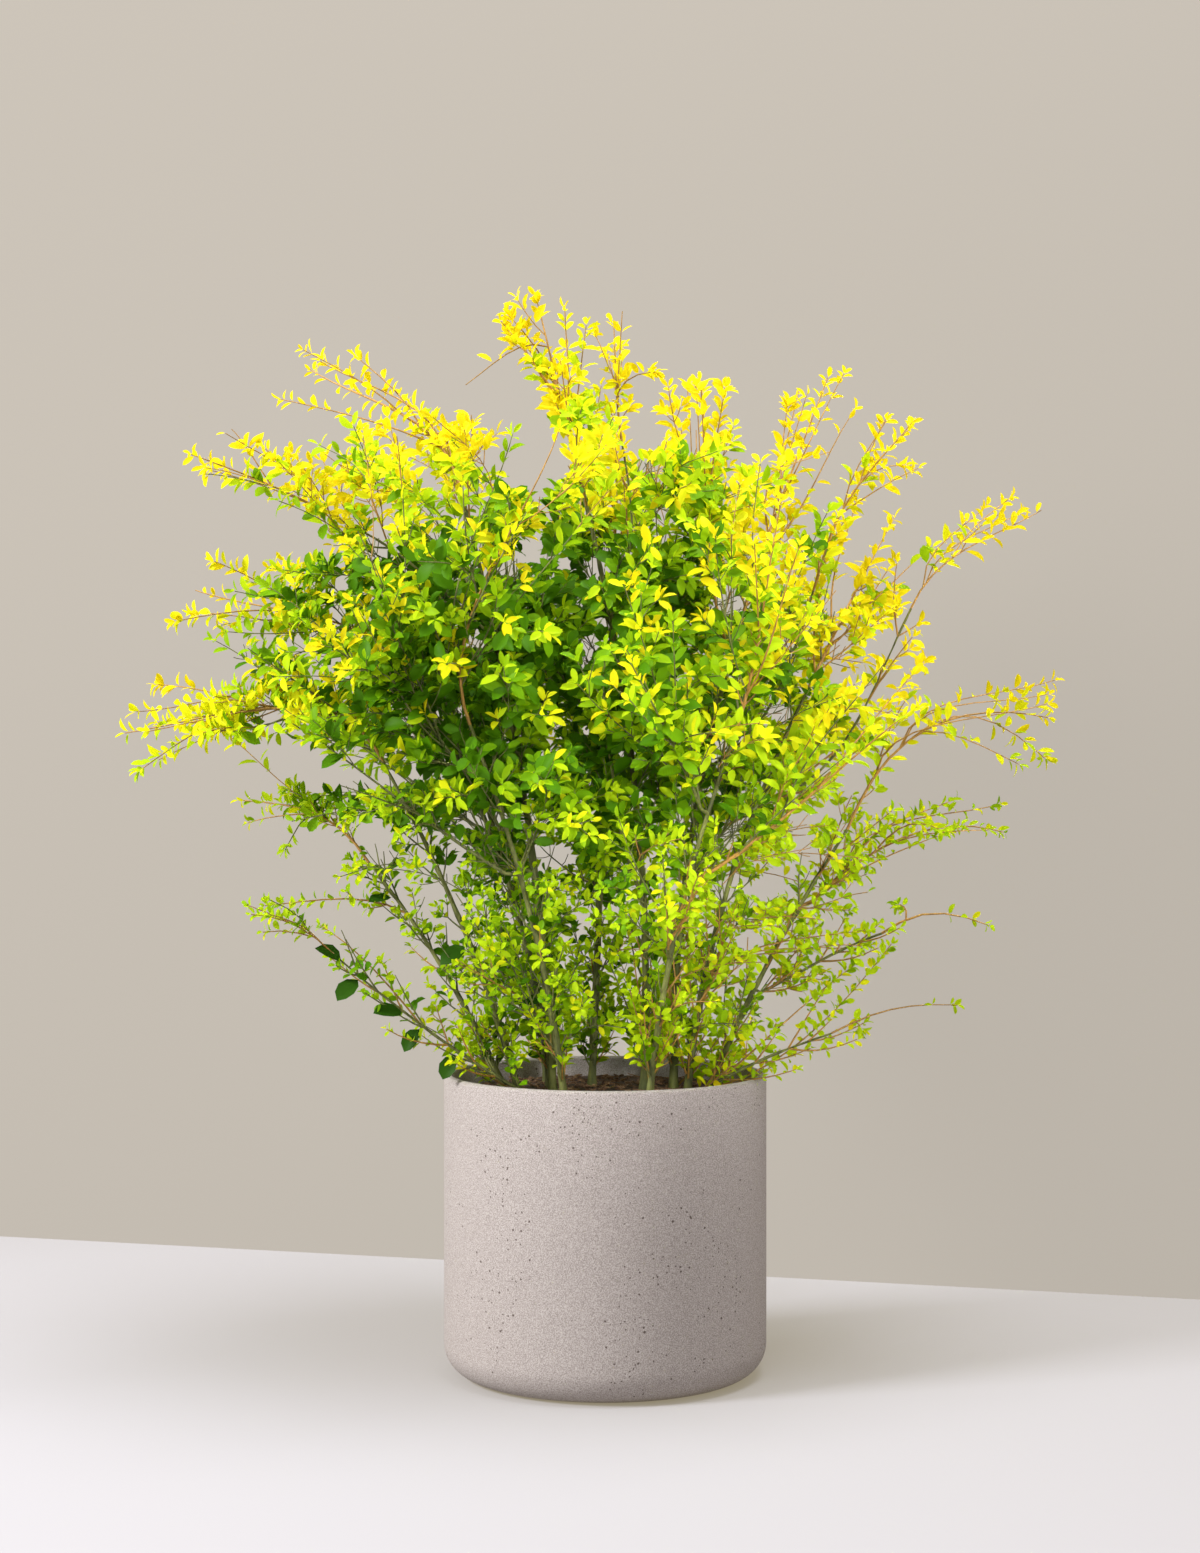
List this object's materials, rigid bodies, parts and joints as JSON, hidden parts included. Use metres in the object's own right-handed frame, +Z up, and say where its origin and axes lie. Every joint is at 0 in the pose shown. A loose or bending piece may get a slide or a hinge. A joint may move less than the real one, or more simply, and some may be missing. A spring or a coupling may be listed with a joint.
{
  "type": "potted chinese privet",
  "caption": "Many-stemmed golden privet shrub with opposite leaves on arching shoots, in a plain round concrete planter.",
  "frame": {"origin": "middle of the planter's flat underside, which stands on the ground", "axes": "+Z up along the planter's axis; -Y faces the viewer of the picture, +X to the right"},
  "size_m": [1.0994, 0.797, 1.2718],
  "materials": {
    "concrete": "matte",
    "soil": "matte",
    "bark": "matte",
    "young_bark": "satin",
    "leaf_gold": "satin",
    "leaf_yellow": "satin",
    "leaf_lime": "satin",
    "leaf_green": "satin",
    "leaf_deep": "satin"
  },
  "bodies": {
    "root": {"pot": "concrete", "soil": "soil", "stem_left_low": "bark", "stem_left_outer": "bark", "stem_left_mid": "bark", "stem_left_inner": "bark", "stem_left_main": "bark", "stem_centre_back": "bark", "stem_centre": "bark", "stem_right_inner": "bark", "stem_right_mid": "bark", "stem_right_outer": "bark", "stem_right_low": "bark", "stem_front_left": "bark", "stem_front_right": "bark", "stem_back_left": "bark", "stem_back_right": "bark", "bough_left_high": "young_bark", "bough_top": "young_bark", "bough_upper_right": "young_bark", "bough_right_arm": "young_bark", "bough_right_low": "young_bark", "mass_top_left": "leaf_gold", "mass_top_centre": "leaf_gold", "mass_top_inner_right": "leaf_gold", "mass_top_right": "leaf_gold", "mass_upper_right": "leaf_gold", "mass_upper_left": "leaf_gold", "mass_left_high": "leaf_yellow", "mass_top_back": "leaf_yellow", "mass_top_front": "leaf_yellow", "mass_left_upper": "leaf_yellow", "mass_right_high": "leaf_yellow", "mass_right_arm": "leaf_yellow", "mass_front_left_high": "leaf_green", "mass_front_right_high": "leaf_yellow", "mass_back_left_high": "leaf_yellow", "mass_back_right_high": "leaf_yellow", "mass_core_left_high": "leaf_deep", "mass_core_right_high": "leaf_green", "mass_left": "leaf_green", "mass_right": "leaf_green", "mass_front": "leaf_green", "mass_back": "leaf_green", "mass_front_left": "leaf_green", "mass_front_right": "leaf_green", "mass_back_left": "leaf_green", "mass_back_right": "leaf_green", "mass_core_left": "leaf_deep", "mass_core_centre": "leaf_deep", "mass_core_right": "leaf_green", "mass_left_skirt": "leaf_lime", "mass_right_skirt": "leaf_lime", "mass_front_skirt": "leaf_lime", "mass_back_skirt": "leaf_lime", "mass_left_low": "leaf_lime", "mass_right_low": "leaf_lime", "mass_right_bottom": "leaf_lime", "mass_low_left": "leaf_lime", "mass_low_right": "leaf_lime"}
  },
  "joints": []
}
